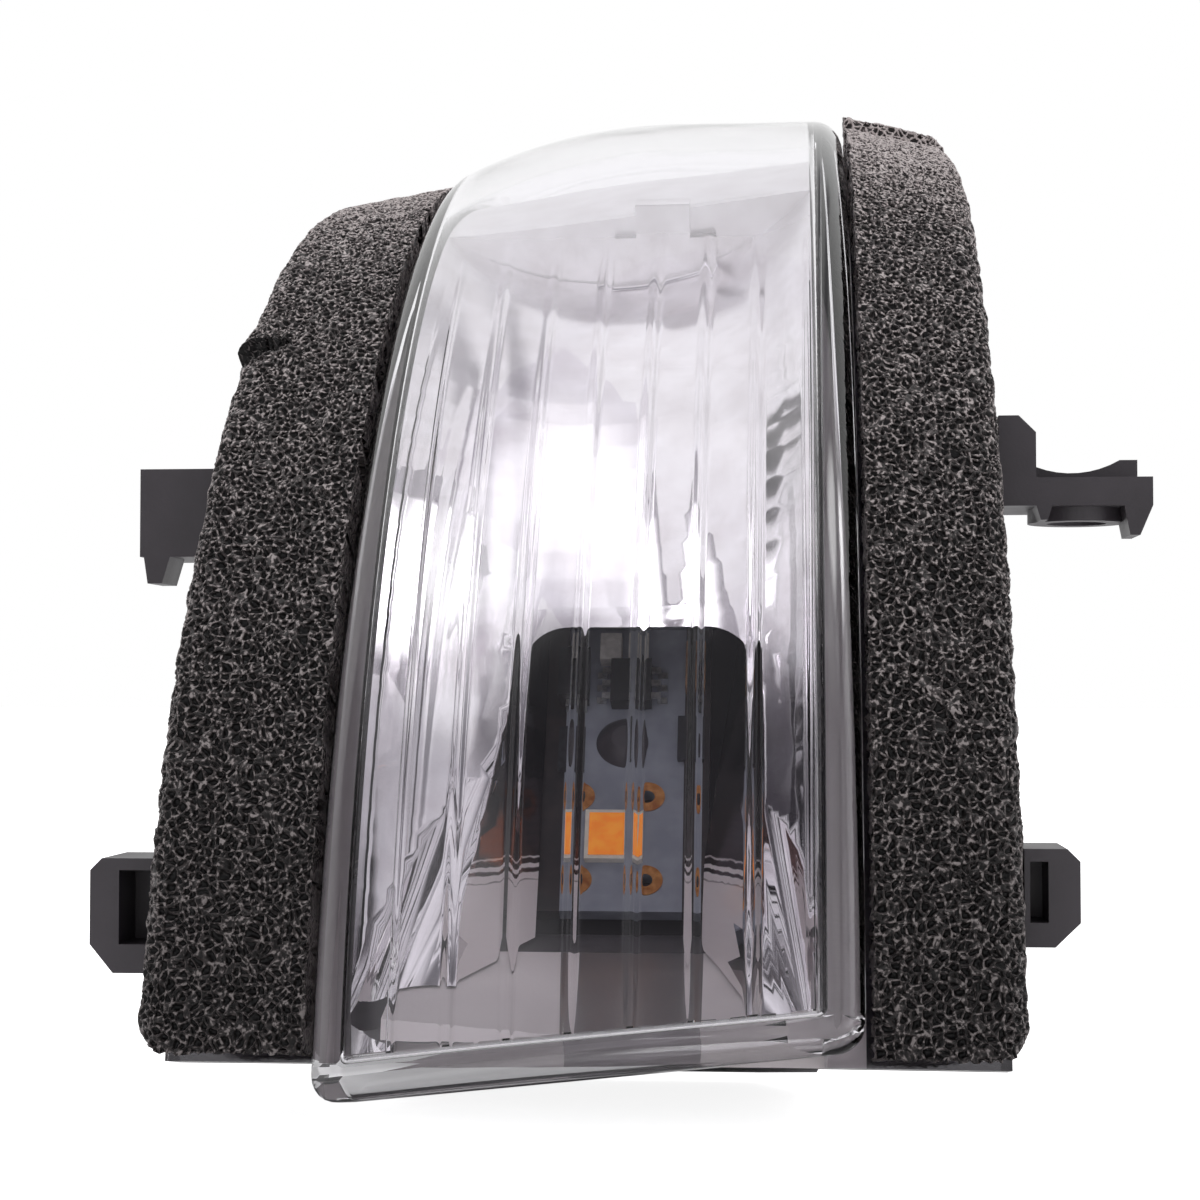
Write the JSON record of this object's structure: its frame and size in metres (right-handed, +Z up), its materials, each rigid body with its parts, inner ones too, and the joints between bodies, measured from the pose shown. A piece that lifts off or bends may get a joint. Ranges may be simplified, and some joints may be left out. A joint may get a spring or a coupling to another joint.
{
  "type": "door mirror turn signal lamp",
  "caption": "Curved door-mirror turn signal lamp: clear fluted lens, foam gaskets, bright reflector with an amber LED board, and a black clip-in rear housing with a plug socket.",
  "frame": {"origin": "middle of the fixing hole, on the upper face of the fixing arm", "axes": "+Z up along the fixing hole, +Y from the lens face towards the plug socket, +X across the lamp towards the fixing arm"},
  "size_m": [0.0741, 0.0871, 0.0806],
  "materials": {
    "clear_lens": "clear polished polycarbonate",
    "black_housing": "satin moulded black ABS",
    "bright_reflector": "vacuum metallised plastic",
    "foam": "open-cell polyurethane foam",
    "board": "white solder mask on glass epoxy",
    "led_body": "white moulded LED body",
    "amber_phosphor": "amber silicone",
    "plating": "gold plated copper",
    "moulded_black": "black epoxy moulding",
    "tinned_metal": "bright tin plate",
    "diode_glass": "tinted glass",
    "resistor": "glazed chip with tinned ends",
    "capacitor": "fired ceramic with tinned ends"
  },
  "bodies": {
    "root": {"outer_lens": "clear_lens", "rear_housing": "black_housing", "reflector": "bright_reflector", "left_foam": "foam", "right_foam": "foam", "circuit_board": "board", "led_package": "led_body", "led_phosphor": "amber_phosphor", "plated_eyelets": "plating", "driver_chip": "moulded_black", "driver_chip_legs": "tinned_metal", "surge_diode": "moulded_black", "surge_diode_tabs": "tinned_metal", "signal_diode": "diode_glass", "chip_resistors": "resistor", "chip_capacitors": "capacitor", "terminal_blades": "tinned_metal"}
  },
  "joints": []
}
